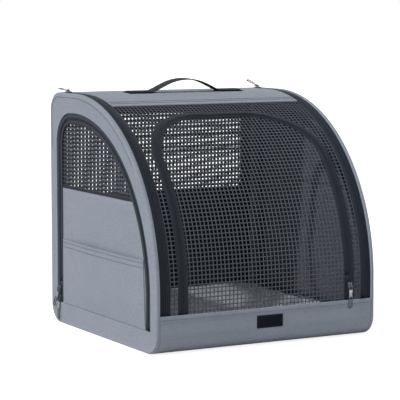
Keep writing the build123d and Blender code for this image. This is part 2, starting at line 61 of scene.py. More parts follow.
def node(tree, kind, inputs=(), **settings):
    """Add a shader node, set it up, and feed its sockets with numbers or with other sockets."""
    added = tree.nodes.new("ShaderNode" + kind)
    for setting, value in settings.items():
        setattr(added, setting, value)
    for socket, value in dict(inputs).items():
        if isinstance(value, bpy.types.NodeSocket):
            tree.links.new(value, added.inputs[socket])
        else:
            added.inputs[socket].default_value = value
    return added


def blank(name):
    """A new material, with its node tree and its shader."""
    material = bpy.data.materials.new(name)
    material.use_nodes = True
    return material, material.node_tree, material.node_tree.nodes["Principled BSDF"]


sky = bpy.data.worlds.new("white_sky")
sky.use_nodes = True
scene.world = sky
air = sky.node_tree
ray = node(air, "LightPath")
seen = ray.outputs["Is Camera Ray"]
for kind in ("Is Glossy Ray", "Is Transmission Ray"):
    seen = node(air, "Math", {0: seen, 1: ray.outputs[kind]}, operation="MAXIMUM").outputs[0]
strength = node(air, "MapRange", {"Value": seen, "To Min": 0.27, "To Max": 1.0})
air.links.new(strength.outputs["Result"], air.nodes["Background"].inputs["Strength"])
air.nodes["Background"].inputs["Color"].default_value = (1, 1, 1, 1)

for name, energy, spread, shining in (("key_lamp", 2.35, 3, (0.72, 0.07, -0.69)),
                                      ("front_fill", 0.8, 80, (0.15, 0.97, -0.15)),
                                      ("right_lamp", 1.3, 10, (-1, 0, 0))):
    lamp = bpy.data.objects.new(name, bpy.data.lights.new(name, "SUN"))
    lamp.data.energy = energy
    lamp.data.angle = math.radians(spread)
    lamp.rotation_euler = Vector(shining).to_track_quat("-Z", "Y").to_euler()
    scene.collection.objects.link(lamp)

camera = bpy.data.objects.new("camera", bpy.data.cameras.new("camera"))
camera.location = (-1.714999, -3.093223, 0.629680)
camera.rotation_euler = (math.radians(90 - 6.0994), 0, math.radians(-28.7217))
camera.data.lens = 163.564
scene.collection.objects.link(camera)
scene.camera = camera

floor_paint, paint, shader = blank("floor_paint")
paint.nodes.remove(shader)
ray = node(paint, "LightPath")
lift = node(paint, "Math", {0: ray.outputs["Is Camera Ray"], 1: 0.8}, operation="MULTIPLY")
glow = node(paint, "Emission", {"Strength": lift.outputs[0]})
white = node(paint, "BsdfDiffuse", {"Color": (0.72, 0.72, 0.72, 1)})
both = node(paint, "AddShader", {0: white.outputs[0], 1: glow.outputs[0]})
paint.links.new(both.outputs[0], paint.nodes["Material Output"].inputs["Surface"])
ground = bmesh.new()
bmesh.ops.create_grid(ground, x_segments=1, y_segments=1, size=20)
bmesh.ops.translate(ground, verts=ground.verts, vec=(0, 0, -0.0004))
floor = bpy.data.objects.new("floor", bpy.data.meshes.new("floor"))
ground.to_mesh(floor.data)
floor.data.materials.append(floor_paint)
scene.collection.objects.link(floor)


# Bottom cover: coated cloth that the crate stands on, dark, cut in one piece with its edges
# sewn into the band in front, the back panel and the rims of the side panels.
def section(bm, points, cuts=0, direction=(1, 0, 0)):
    """A line through a few points, cut finer, with the distance across it noted on its vertices."""
    if not bm.verts.layers.float:
        bm.verts.layers.float.new("across")
        bm.verts.layers.float.new("along")
    across = bm.verts.layers.float["across"]
    old = set(bm.verts)
    verts = [bm.verts.new(point) for point in points]
    edges = [bm.edges.new(pair) for pair in zip(verts, verts[1:])]
    if cuts:
        bmesh.ops.subdivide_edges(bm, edges=edges, cuts=cuts)
    fresh = [vert for vert in bm.verts if vert not in old]
    for vert in fresh:
        vert[across] = vert.co.dot(Vector(direction))
    return fresh + list({edge for vert in fresh for edge in vert.link_edges})


def motion(run):
    """How to spin along a straight run (step, count) or round a turn (centre, degrees, count)."""
    if len(run) == 2:
        return {"cent": (0, 0, 0), "dvec": run[0], "angle": 0, "steps": run[1]}
    return {"cent": run[0], "angle": math.radians(run[1]), "steps": run[2]}


def verts_of(parts):
    """The vertices among the parts of a section."""
    return [part for part in parts if isinstance(part, bmesh.types.BMVert)]


def follow(bm, ends, runs, axis=(1, 0, 0)):
    """Carry a section along runs and turns, with the way gone noted on its vertices."""
    along = bm.verts.layers.float["along"]
    line = verts_of(ends)
    gone = line[0][along]
    for run in runs:
        how = motion(run)
        how.update(angle=how["angle"] / run[-1], steps=1)
        for _ in range(run[-1]):
            corner = line[0].co.copy()
            ends = bmesh.ops.spin(bm, geom=ends, axis=axis, **how)["geom_last"]
            line = verts_of(ends)
            gone += (line[0].co - corner).length
            for vert in line:
                vert[along] = gone
    return ends


def outwards(bm, inside=(0, 0, 0.2)):
    """Turn a skin's faces away from a point inside it."""
    bmesh.ops.recalc_face_normals(bm, faces=bm.faces)
    facing = sum((face.calc_center_median() - Vector(inside)).dot(face.normal) * face.calc_area()
                 for face in bm.faces)
    if facing < 0:
        bmesh.ops.reverse_faces(bm, faces=bm.faces)


def made(name, bm, body, materials, wall=0, edge=0, lining=0, flat=False):
    """Make a bmesh a piece on a body: its weave on a UV map, its wall inwards, its edges rounded."""
    layers = [bm.verts.layers.float.get(layer) for layer in ("across", "along")]
    if all(layers):
        weave = bm.loops.layers.uv.new("weave")
        for face in bm.faces:
            for loop in face.loops:
                loop[weave].uv = [loop.vert[layer] for layer in layers]
    mesh = bpy.data.meshes.new(name)
    bm.to_mesh(mesh)
    bm.free()
    if not flat:
        mesh.shade_smooth()
        mesh.set_sharp_from_angle(angle=math.radians(50))
    for material in materials:
        mesh.materials.append(material)
    piece = bpy.data.objects.new(name, mesh)
    scene.collection.objects.link(piece)
    if wall:
        cloth_wall = piece.modifiers.new("wall", "SOLIDIFY")
        cloth_wall.thickness = wall
        cloth_wall.offset = -1
        cloth_wall.material_offset = lining
    if edge:
        rounding = piece.modifiers.new("edge", "BEVEL")
        rounding.width = edge
        rounding.segments = 2
        rounding.limit_method = "ANGLE"
        rounding.angle_limit = math.radians(50)
        piece.modifiers.new("shading", "WEIGHTED_NORMAL")
    if body:
        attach(piece, body)
    return piece


def woven(name, colour, thread, height, rough, sheen=0.0, coords="UV", uneven=0.0004, shine=0.2):
    """Plain-woven cloth: threads over and under each other, slightly uneven in tone and lie."""
    material, tree, shader = blank(name)
    shader.inputs["Roughness"].default_value = rough
    shader.inputs["Sheen Weight"].default_value = sheen
    shader.inputs["Specular IOR Level"].default_value = shine
    place = node(tree, "TexCoord").outputs[coords]
    wave = 0.31416 / thread
    warp = node(tree, "TexWave", {"Vector": place, "Scale": wave}, bands_direction="X")
    weft = node(tree, "TexWave", {"Vector": place, "Scale": wave}, bands_direction="Y")
    over = node(tree, "TexChecker", {"Vector": place, "Scale": 1 / thread})
    threads = node(tree, "Mix", {0: over.outputs["Fac"], 2: warp.outputs["Fac"], 3: weft.outputs["Fac"]})
    body_place = node(tree, "TexCoord").outputs["Object"]
    drawn_out = node(tree, "Mapping", {"Vector": body_place, "Scale": (0.25, 0.25, 1)})
    slub = node(tree, "TexNoise", {"Vector": drawn_out.outputs[0], "Scale": 420, "Detail": 2})
    slub = node(tree, "Math", {0: slub.outputs["Fac"], 1: 2.4, 2: -0.7}, operation="MULTIPLY_ADD")
    mottle = node(tree, "TexNoise", {"Vector": body_place, "Scale": 14, "Detail": 3})
    tone = node(tree, "Math", {0: threads.outputs[0], 1: slub.outputs[0]}, operation="ADD")
    tone = node(tree, "Math", {0: tone.outputs[0], 1: mottle.outputs["Fac"]}, operation="ADD")
    fade = 0.12
    dark = [channel * (1 - fade) for channel in colour] + [1]
    light = [channel * (1 + fade) for channel in colour] + [1]
    ramp = node(tree, "MapRange", {"Value": tone.outputs[0], "From Min": 0.6, "From Max": 2.2})
    dye = node(tree, "Mix", {"Factor": ramp.outputs["Result"]}, data_type="RGBA")
    dye.inputs[6].default_value, dye.inputs[7].default_value = dark, light
    tree.links.new(dye.outputs[2], shader.inputs["Base Color"])
    lie = node(tree, "TexNoise", {"Vector": body_place, "Scale": 9, "Detail": 1})
    soft = node(tree, "Bump", {"Height": lie.outputs["Fac"], "Distance": uneven * 12, "Strength": 0.35})
    fine = node(tree, "Bump", {"Height": threads.outputs[0], "Distance": height, "Strength": 0.5,
                               "Normal": soft.outputs[0]})
    tree.links.new(fine.outputs[0], shader.inputs["Normal"])
    return material


base_cloth = woven("base_cloth", (0.022, 0.025, 0.030), 0.0012, 0.0003, 0.6)
bottom = bmesh.new()
follow(bottom, section(bottom, [(-0.227, -0.192, 0), (0.227, -0.192, 0)], 12), [((0, 0.032, 0), 12)])
outwards(bottom)
bottom_cover = made("bottom_cover_cloth", bottom, "root", [base_cloth], wall=0.003)
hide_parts("bottom_cover")

# Floor board: a sheet of grey plastic board in the bottom cover, under the mat. The sheet sewn
# under the top strip and the two flat steel springs in the rims are as the CAD has them.
def grained(tree, scale, detail):
    """Noise that is fixed to a piece."""
    place = node(tree, "TexCoord").outputs["Object"]
    return node(tree, "TexNoise", {"Vector": place, "Scale": scale, "Detail": detail}).outputs["Fac"]


def toned(tree, shader, value, low, high):
    """Colour a shader between two tones by a value, and give back the stops of the ramp."""
    ramp = node(tree, "ValToRGB", {"Fac": value})
    stops = ramp.color_ramp.elements
    stops[0].color, stops[1].color = (*low, 1), (*high, 1)
    tree.links.new(ramp.outputs["Color"], shader.inputs["Base Color"])
    return stops


def bumped(tree, shader, height, distance, strength):
    """Raise a surface by a value."""
    bumps = node(tree, "Bump", {"Height": height, "Distance": distance, "Strength": strength})
    tree.links.new(bumps.outputs[0], shader.inputs["Normal"])


def metal(name, colour, scale, detail, smoothest, roughest, marks=0.0):
    """Metal that is polished unevenly, with shallow marks in it."""
    material, tree, shader = blank(name)
    wear = grained(tree, scale, detail)
    polish = node(tree, "MapRange", {"Value": wear, "To Min": smoothest, "To Max": roughest})
    tree.links.new(polish.outputs["Result"], shader.inputs["Roughness"])
    if marks:
        bumped(tree, shader, wear, marks, 0.2)
    shader.inputs["Base Color"].default_value = (*colour, 1)
    shader.inputs["Metallic"].default_value = 1
    return material


board_plastic, tree, shader = blank("board_plastic")
grain = grained(tree, 300, 4)
toned(tree, shader, grain, (0.060, 0.060, 0.064), (0.095, 0.095, 0.100))
bumped(tree, shader, grain, 0.0002, 0.4)
spring_steel = metal("spring_steel", (0.5, 0.5, 0.52), 500, 2, 0.28, 0.48)
for part, finish in (("base_board", board_plastic), ("top_board", board_plastic),
                     ("side_hoop_left", spring_steel), ("side_hoop_right", spring_steel)):
    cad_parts[part].data.materials.clear()
    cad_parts[part].data.materials.append(finish)

# Floor mat: a loose pad of pale fleece filled with wadding, two round-cornered panels sewn
# together round a piped seam. It lies on the board and is full to the walls.
fleece, tree, shader = blank("pale_fleece")
pile = node(tree, "TexVoronoi", {"Vector": node(tree, "TexCoord").outputs["Object"], "Scale": 260})
nap = node(tree, "Math", {0: pile.outputs["Distance"], 1: grained(tree, 60, 6)}, operation="ADD").outputs[0]
stops = toned(tree, shader, nap, (0.90, 0.94, 0.99), (0.79, 0.84, 0.90))
stops[0].position, stops[1].position = 0.35, 1.1
bumped(tree, shader, nap, 0.0012, 0.6)
shader.inputs["Roughness"].default_value = 0.95
shader.inputs["Sheen Weight"].default_value = 0.3

pad = bmesh.new()
bmesh.ops.create_cube(pad, size=1)
bmesh.ops.scale(pad, verts=pad.verts, vec=(0.430, 0.414, 0.026))
bmesh.ops.translate(pad, verts=pad.verts, vec=(0, 0.002, 0.029))
upright = [edge for edge in pad.edges if abs(edge.verts[0].co.z - edge.verts[1].co.z) > 0.01]
bmesh.ops.bevel(pad, geom=upright, offset=0.03, offset_type="OFFSET", affect="EDGES", segments=6,
                profile=0.5, material=-1)
mat_mesh = bpy.data.meshes.new("floor_mat_pad")
pad.to_mesh(mat_mesh)
pad.free()
mat = bpy.data.objects.new("floor_mat_pad", mat_mesh)
scene.collection.objects.link(mat)
mat_mesh.materials.append(fleece)


def applied(piece):
    """Fix a piece's modifiers into its mesh."""
    done = bpy.data.meshes.new_from_object(piece.evaluated_get(bpy.context.evaluated_depsgraph_get()))
    piece.modifiers.clear()
    piece.data = done


remesh = mat.modifiers.new("remesh", "REMESH")
remesh.mode = "VOXEL"
remesh.voxel_size = 0.006
applied(mat)
rest = [vert.co.copy() for vert in mat.data.vertices]
filling = mat.modifiers.new("filling", "CLOTH")
filling.settings.use_pressure = True
filling.settings.uniform_pressure_force = 4
filling.settings.quality = 5
filling.settings.effector_weights.gravity = 0
for moment in range(1, 21):
    scene.frame_set(moment)
applied(mat)
scene.frame_set(1)
for vert, start in zip(mat.data.vertices, rest):
    moved = vert.co - start
    vert.co = start + moved * min(1, 0.012 / max(moved.length, 1e-9))
    vert.co.z = max(vert.co.z, 0.0092)
smooth = mat.modifiers.new("smooth", "SUBSURF")
smooth.levels = smooth.render_levels = 1
applied(mat)
mat.data.shade_smooth()
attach(mat, "root")
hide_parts("floor_mat")

# Front band: padded grey cloth that stands up below the net and rolls under at its foot. Its top
# edge is folded and sewn over the net and the ends of the zips.
grey_cloth = woven("grey_cloth", (0.262, 0.294, 0.350), 0.0011, 0.0003, 0.72, sheen=0.15)
black_lining = woven("black_lining", (0.010, 0.010, 0.013), 0.0008, 0.0002, 0.75)
wall_lining = woven("wall_lining", (0.150, 0.146, 0.180), 0.0008, 0.0002, 0.75)
grey_thread = woven("grey_thread", (0.085, 0.095, 0.115), 0.0006, 0.0002, 0.6, coords="Object")
pale_thread = woven("pale_thread", (0.150, 0.168, 0.200), 0.0006, 0.0002, 0.6, coords="Object")
band = bmesh.new()
follow(band, section(band, [(-0.227, -0.192, 0), (0.227, -0.192, 0)], 24),
       [((0, -0.192, 0.038), -90, 10), ((0, 0, 0.0048), 5), ((0, -0.0005, 0.0005), 1), ((0, 0, 0.00525), 2)])
outwards(band)
front_band = made("front_band_cloth", band, "root", [grey_cloth, black_lining],
                  wall=0.003, edge=0.001, lining=1)
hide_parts("front_band")
# From one stitch to the next
STITCH = 0.0033


def stitches(bm, start, first, runs, out, length=0.0022, width=0.0006, axis=(1, 0, 0)):
    """A row of short stitches that starts at a point, lies along first, and follows runs and turns."""
    first, out = Vector(first).normalized(), Vector(out).normalized()
    seat = Matrix((first, out.cross(first).normalized(), out)).transposed().to_4x4()
    stitch = bmesh.ops.create_cube(bm, size=1, matrix=Matrix.Translation(start) @ seat @ Matrix.Diagonal(
        (length, width, width, 1)))["verts"]
    geom = (stitch + list({edge for vert in stitch for edge in vert.link_edges})
            + list({face for vert in stitch for face in vert.link_faces}))
    for run in runs:
        geom = bmesh.ops.spin(bm, geom=geom, axis=axis, use_duplicate=True, **motion(run))["geom_last"]


sewing = bmesh.new()
stitches(sewing, (-0.2255, -0.2306, 0.0655), (1, 0, 0), [((STITCH, 0, 0), 136)], (0, -1, 0))
made("front_band_stitches", sewing, "root", [grey_thread], flat=True)

# Label: a blank black patch of coated cloth, sewn to the middle of the band.
black_thread = woven("black_thread", (0.022, 0.026, 0.032), 0.0006, 0.0002, 0.6, coords="Object")
black_cloth = woven("black_cloth", (0.008, 0.012, 0.017), 0.0007, 0.0002, 0.9, coords="Object", shine=0.04)


def rounded_box(bm, place, size, round_off):
    """A box of a size at a place, with its edges rounded."""
    verts = bmesh.ops.create_cube(bm, size=1, matrix=place @ Matrix.Diagonal((*size, 1)))["verts"]
    edges = list({edge for vert in verts for edge in vert.link_edges})
    bmesh.ops.bevel(bm, geom=edges, offset=round_off, offset_type="OFFSET", affect="EDGES", segments=2,
                    profile=0.5, material=-1)


label = bmesh.new()
rounded_box(label, Matrix.Translation((0.002, -0.2306, 0.047)), (0.056, 0.0012, 0.024), 0.0005)
label_patch = made("label_patch_blank", label, "root", [black_cloth])
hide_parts("label_patch")


def box_of_stitches(bm, middle, wide, high, along, out):
    """A rectangle of stitches about a middle, with its width along a direction."""
    along, out = Vector(along), Vector(out)
    up = out.cross(along)
    for first, span, across, reach in ((along, wide, up, high), (up, high, along, wide)):
        count = round(span / STITCH)
        for edge in (-1, 1):
            start = Vector(middle) - first * (count * STITCH / 2) + across * (reach / 2 * edge)
            stitches(bm, start, first, [(first * STITCH, count)], out)


sewing = bmesh.new()
box_of_stitches(sewing, (0.002, -0.2313, 0.047), 0.052, 0.020, (1, 0, 0), (0, -1, 0))
made("label_stitches", sewing, "root", [black_thread], flat=True)

# Back panel: padded grey cloth, lined in black, that rolls under at its foot and over at its top.
# Its window is cut out, and a folded tape binds the cut edge and the net behind it.
back = bmesh.new()
follow(back, section(back, [(-0.227, 0.192, 0), (-0.207, 0.192, 0), (0.207, 0.192, 0), (0.227, 0.192, 0)], 5),
       [((0, 0.192, 0.038), 90, 10), ((0, 0, 0.0207), 10), ((0, 0, 0.019), 9), ((0, 0, 0.006), 1),
        ((0, 0.192, 0.422), 90, 10)])
cut = [face for face in back.faces
       if abs(face.calc_center_median().x) < 0.207 and 0.245 < face.calc_center_median().z < 0.416]
bmesh.ops.delete(back, geom=cut, context="FACES")
outwards(back)
back_panel = made("back_panel_cloth", back, "root", [grey_cloth, black_lining],
                  wall=0.003, lining=1)
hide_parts("back_panel")
sewing = bmesh.new()
for height in (0.0655, 0.0705):
    stitches(sewing, (-0.2255, 0.2306, height), (1, 0, 0), [((STITCH, 0, 0), 136)], (0, 1, 0))
made("back_panel_stitches", sewing, "root", [grey_thread], flat=True)

webbing_black = woven("binding_tape", (0.014, 0.016, 0.019), 0.0009, 0.0002, 0.6, coords="Object")
binding = bmesh.new()
profile = section(binding, [(0.2020, 0.2305, 0.30), (0.2020, 0.2252, 0.30), (0.2120, 0.2252, 0.30),
                            (0.2120, 0.2305, 0.30)])
upper_right, upper_left = (0.195, 0, 0.402), (-0.195, 0, 0.402)
lower_left, lower_right = (-0.195, 0, 0.259), (0.195, 0, 0.259)
follow(binding, profile, [((0, 0, 0.102), 1), (upper_right, 90, 6), ((-0.195, 0, 0), 2), (upper_left, 90, 6),
                          ((0, 0, -0.0715), 2), (lower_left, 90, 6), ((0.195, 0, 0), 2),
                          (lower_right, 90, 6), ((0, 0, 0.0205), 2)], axis=(0, -1, 0))
MERGE = 0.00002
bmesh.ops.remove_doubles(binding, verts=binding.verts, dist=MERGE)
open_edges = [edge for edge in binding.edges if edge.is_boundary]
bmesh.ops.bridge_loops(binding, edges=open_edges)
bmesh.ops.recalc_face_normals(binding, faces=binding.faces)
window_binding = made("back_window_tape", binding, "root", [webbing_black], edge=0.0008)
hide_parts("back_window_binding")
sewing = bmesh.new()
stitches(sewing, (0.2095, 0.2307, 0.2605), (0, 0, 1),
         [((0, 0, STITCH), 43), (upper_right, 90, 7), ((-STITCH, 0, 0), 118), (upper_left, 90, 7),
          ((0, 0, -STITCH), 43), (lower_left, 90, 7), ((STITCH, 0, 0), 118), (lower_right, 90, 6)],
         (0, 1, 0), axis=(0, -1, 0))
made("back_window_stitches", sewing, "root", [grey_thread], flat=True)

# Nets: square net of stiff dark yarn, in the back window, the two side doors and all over the
# curved front. Its yarns stand a little proud of the cells that they go round.
PITCH = 0.0082
yarn, tree, shader = blank("net_yarn")
twist = grained(tree, 420, 3)
toned(tree, shader, twist, (0.026, 0.033, 0.045), (0.052, 0.064, 0.086))
bumped(tree, shader, twist, 0.0003, 0.5)
shader.inputs["Roughness"].default_value = 0.55


def netted(bm, wanted, inside, thick=0.0021):
    """Keep the cells of a grid whose middle is wanted, and open each of them within yarns this thick."""
    unwanted = [face for face in bm.faces if not wanted(face.calc_center_median())]
    bmesh.ops.delete(bm, geom=unwanted, context="FACES")
    outwards(bm, inside)
    cells = bm.faces[:]
    bmesh.ops.inset_individual(bm, faces=cells, thickness=thick / 2, depth=-0.0004, use_even_offset=True)
    bmesh.ops.delete(bm, geom=cells, context="FACES")


def laid_net(bm, high, wide, columns, rows, middle, turned):
    """A flat grid of cells about a middle, turned to stand upright."""
    bmesh.ops.create_grid(bm, x_segments=columns, y_segments=rows, size=0.5,
                          matrix=Matrix.Translation(middle) @ turned @ Matrix.Diagonal((wide, high, 1, 1)))


window = bmesh.new()
UPRIGHT = Matrix.Rotation(math.radians(90), 4, "X")
laid_net(window, 22 * PITCH, 52 * PITCH, 52, 22, (0, 0.2278, 0.3305), UPRIGHT)
netted(window, lambda middle: True, (0, 0, 0.33), 0.0045)
back_net = made("back_window_yarns", window, "root", [yarn], wall=0.0018, flat=True)
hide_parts("back_window_net")


def door_inset(point):
    """How far a point of the curved front lies inside the outer edge of the front zip."""
    side, up = abs(point.x) - 0.050, (point.y + point.z) / math.sqrt(2) - 0.1435
    if side > 0 and up > 0:
        return 0.140 - math.hypot(side, up)
    return 0.140 - max(side, up)


# The middle of the front's curve
CURVE = (0, 0.120, 0.110)


def front_net(name, body, wanted):
    """The wanted cells of a net up the straight foot of the front and round its curve."""
    bm = bmesh.new()
    foot = 0.110 - 5 * PITCH
    row = math.degrees(PITCH / 0.3475)
    follow(bm, section(bm, [(-26 * PITCH, -0.2275, foot), (26 * PITCH, -0.2275, foot)], 51),
           [((0, 0, PITCH), 5), (CURVE, -54 * row, 54)])
    netted(bm, wanted, (0, 0, 0.2))
    return made(name, bm, body, [yarn], wall=0.0007, flat=True)


SHOULDER, DOOR_FOOT = 0.3915, 0.083
for part, belongs, wide, high, area in (
        ("left", lambda middle: middle.x < 0 and middle.z < SHOULDER, 4, 45, 0.0056),
        ("right", lambda middle: middle.x > 0 and middle.z < SHOULDER, 4, 45, 0.0056),
        ("top", lambda middle: middle.z > SHOULDER, 52, 14, 0.0147)):
    front_surround = front_net(f"front_surround_yarns_{part}", "root",
                               lambda middle: belongs(middle) and door_inset(middle) < 0.006)
    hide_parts("front_surround")
front_door_net = front_net("front_door_yarns", "front_door",
                           lambda middle: door_inset(middle) > 0.016 and middle.z > DOOR_FOOT)
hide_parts("front_door_net")
# The two rows that bend where the door folds down over the band
front_door_foot = front_net("front_door_foot_yarns", None,
                            lambda middle: door_inset(middle) > 0.016 and middle.z < DOOR_FOOT)
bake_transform(front_door_foot, "root", "front_door", start=(0, -0.2275, 0.0705), end=(0, -0.2275, 0.0765))

# Top strip: padded grey cloth over a board, from the back panel to a little way down the curve.
# Its front edge is folded over the net and sewn with two rows.
strip = bmesh.new()
follow(strip, section(strip, [(-0.206, 0.192, 0.460), (0.206, 0.192, 0.460)], 24),
       [((0, -0.009, 0), 8), (CURVE, 16.4, 16), ((0, -0.0004, -0.0001), 1), (CURVE, 2.6, 3)])
outwards(strip)
top_panel = made("top_strip_cloth", strip, "root", [grey_cloth, black_lining], wall=0.003,
                 edge=0.001, lining=1)
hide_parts("top_panel")
sewing = bmesh.new()
for angle in (15.9, 17.3):
    out = Vector((0, -math.sin(math.radians(angle)), math.cos(math.radians(angle))))
    start = Vector((-0.2045, *CURVE[1:])) + out * 0.3505
    stitches(sewing, start, (1, 0, 0), [((STITCH, 0, 0), 124)], out)
made("top_strip_stitches", sewing, "root", [grey_thread], flat=True)

# Handle: a strap of black webbing that lies flat on two black patches and arches up between them.
# Each end is sewn down with a box of stitches.
strap_webbing = woven("strap_webbing", (0.024, 0.026, 0.028), 0.0016, 0.0006, 0.7, uneven=0, shine=0.12)
lean = math.atan2(0.017, 0.350)
seat_out = Vector((0, -math.sin(lean), math.cos(lean)))
seat = Vector(CURVE) + seat_out * 0.350
strap = bmesh.new()
half_wide = [Vector((0, 0.0137 * math.cos(lean) * sign, 0.0137 * math.sin(lean) * sign)) for sign in (-1, 1)]
strap_line = section(strap, [seat + Vector((-0.123, 0, 0)) + half + seat_out * 0.0032 for half in half_wide],
                     11, (0, 1, 0))
turns = [(0.030, 25), (0.108, -50), (0.030, 25)]
straights = [0.0420, 0.0250, 0.0250, 0.0420]
heading = Vector((1, 0, 0))
for straight, turn in zip(straights, turns + [None]):
    strap_line = follow(strap, strap_line, [(heading * straight / 4, 4)])
    if turn:
        radius, angle = turn
        line = verts_of(strap_line)
        here = sum((vert.co for vert in line), Vector()) / len(line)
        axis = Vector((0, -math.cos(lean), -math.sin(lean)))
        centre = here + axis.cross(heading) * math.copysign(radius, angle)
        strap_line = follow(strap, strap_line, [(centre, angle, 8)], axis=axis)
        heading = Matrix.Rotation(math.radians(angle), 3, axis) @ heading
bmesh.ops.recalc_face_normals(strap, faces=strap.faces)
if sum(face.normal.z for face in strap.faces) < 0:
    bmesh.ops.reverse_faces(strap, faces=strap.faces)
handle_strap = made("handle_webbing", strap, "root", [strap_webbing], wall=0.002, edge=0.0006)
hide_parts("handle_strap")
sewing = bmesh.new()
for side, sign in (("left", -1), ("right", 1)):
    end = seat + Vector((sign * 0.1015, 0, 0))
    box_of_stitches(sewing, end + seat_out * 0.0034, 0.036, 0.021, (1, 0, 0), seat_out)
    patch = bmesh.new()
    place = Matrix.Translation(end + seat_out * 0.0004) @ Matrix.Rotation(lean, 4, "X")
    rounded_box(patch, place, (0.051, 0.032, 0.0018), 0.0006)
    handle_patch = made(f"handle_patch_cloth_{side}", patch, "root", [black_cloth])
    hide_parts(f"handle_patch_{side}")
made("handle_stitches", sewing, "root", [black_thread], flat=True)

# Side panels: padded grey cloth with a round-edged rim, which has the spring sewn into it. The
# face is cut out round the door, and its cut edge is folded and sewn to the door's zip.
RIM = [(0.2272, 0.0030), (0.2272, 0.0010), (0.2280, 0.0002), (0.2300, 0.0), (0.2326, 0.0001),
       (0.2342, 0.0008), (0.2349, 0.0020), (0.2350, 0.0080), (0.2346, 0.0092), (0.2350, 0.0104),
       (0.2350, 0.0140)]
REAR_TOP = (0, 0.192, 0.422)
AROUND = [((0, 0, 0.018), 4), (CURVE, -90, 40), ((0, 0.018, 0), 4), (REAR_TOP, -90, 10), ((0, 0, -0.048), 8),
          ((0, 0.192, 0.038), -90, 10), ((0, -0.048, 0), 8), ((0, -0.192, 0.038), -90, 10)]
# The middles of the arc and of the rear corner that the edge of a side door goes round
DOOR_ARC, DOOR_CORNER = (0, 0.115, 0.102), (0, 0.140, 0.3608)


def round_door(arc_steps, rear_foot, rear_steps):
    """The way round a side door, from its front foot over its arc to its rear foot."""
    drop = (rear_foot - DOOR_CORNER[2]) / rear_steps
    return [((0, 0, 0.012), 5), (DOOR_ARC, -95.52, arc_steps), (DOOR_CORNER, -84.48, 12),
            ((0, 0, drop), rear_steps)]


def mirrored(bm, sign):
    """Turn a right-hand pattern into the left-hand one where the sign is negative."""
    if sign < 0:
        bmesh.ops.scale(bm, verts=bm.verts, vec=(-1, 1, 1))
        bmesh.ops.reverse_faces(bm, faces=bm.faces)


for side, sign in (("left", -1), ("right", 1)):
    panel = bmesh.new()
    rim = section(panel, [(x, -0.230 + inset, 0.038) for x, inset in RIM])
    follow(panel, rim, AROUND)
    bmesh.ops.remove_doubles(panel, verts=panel.verts, dist=MERGE)
    face_edges = [edge for edge in panel.edges if edge.is_boundary and edge.verts[0].co.x > 0.234]
    corner = panel.verts.new((0.2350, -0.205, 0.042))
    foot = verts_of(follow(panel, [corner], round_door(40, 0.042, 20)))[0]
    panel.edges.new((foot, corner))
    opening = [edge for edge in panel.edges if not edge.link_faces]
    filled = bmesh.ops.triangle_fill(panel, edges=face_edges + opening, normal=(1, 0, 0), use_beauty=True)
    across, along = panel.verts.layers.float["across"], panel.verts.layers.float["along"]
    for face in filled["geom"]:
        if isinstance(face, bmesh.types.BMFace):
            for vert in face.verts:
                vert[across], vert[along] = vert.co.y, vert.co.z
    outwards(panel, (0.1, 0, 0.2))
    mirrored(panel, sign)
    side_panel = made(f"side_panel_cloth_{side}", panel, "root", [grey_cloth, wall_lining],
                      wall=0.002, edge=0.0006, lining=1)
    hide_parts(f"side_panel_{side}")
    sewing = bmesh.new()
    rise, ahead = math.sin(math.radians(42)), math.cos(math.radians(42))
    seam = Vector((0.2349, CURVE[1] - 0.341 * ahead, CURVE[2] + 0.341 * rise))
    stitches(sewing, seam, (0, rise, ahead),
             [(CURVE, -48, 79), ((0, 0.0036, 0), 20), (REAR_TOP, -90, 13), ((0, 0, -0.0036), 20)],
             (1, 0, 0), length=0.0028, width=0.0007)
    mirrored(sewing, sign)
    made(f"rim_stitches_{side}", sewing, "root", [grey_thread], flat=True)

# Zips between the side panels and the cover: two black woven tapes with a nylon coil sewn on
# their meeting edges. They run from the band up the curve and over to the back.
zip_tape = woven("zip_tape", (0.009, 0.014, 0.023), 0.0008, 0.0002, 0.6)
side_zip_tape = woven("side_zip_tape", (0.038, 0.049, 0.064), 0.0008, 0.0002, 0.6)
coil_nylon, tree, shader = blank("coil_nylon")
teeth = node(tree, "TexWave", {"Vector": node(tree, "TexCoord").outputs["UV"], "Scale": 0.31416 / 0.0015},
             bands_direction="Y").outputs["Fac"]
toned(tree, shader, teeth, (0.004, 0.006, 0.010), (0.012, 0.018, 0.028))
bumped(tree, shader, teeth, 0.0006, 0.8)
shader.inputs["Roughness"].default_value = 0.5
shader.inputs["Specular IOR Level"].default_value = 0.25
# Across one half of a zip: how far each point is from the middle line, and how deep
HALF_ZIP = [(0.0, 0.0021), (0.0002, 0.0012), (0.0009, 0.0004), (0.0016, 0.0003), (0.0022, 0.0008),
            (0.0026, 0.0020), (0.0105, 0.0020)]
SEWN_IN = HALF_ZIP + [(0.0128, 0.0026)]
PARKED = HALF_ZIP[:-1] + [(0.0073, 0.0020)]


def coil_faces(bm, middle):
    """Give the faces beside a zip's middle line the coil's finish."""
    across = bm.verts.layers.float["across"]
    for face in bm.faces:
        if all(abs(vert[across] - middle) < 0.0027 for vert in face.verts):
            face.material_index = 1


ARC_ZIP_X = 0.2165
for side, sign in (("left", -1), ("right", 1)):
    zipper = bmesh.new()
    for half, shape in ((-1, HALF_ZIP), (1, SEWN_IN)):
        line = section(zipper, [(ARC_ZIP_X + half * off, -0.230 + depth, 0.073) for off, depth in shape])
        follow(zipper, line, [((0, 0, 0.0074), 5), (CURVE, -90, 48), ((0, 0.009, 0), 8)])
    coil_faces(zipper, ARC_ZIP_X)
    outwards(zipper)
    mirrored(zipper, sign)
    arc_zip = made(f"arc_zip_tapes_{side}", zipper, "root", [zip_tape, coil_nylon], wall=0.001)
    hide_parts(f"arc_zip_{side}")

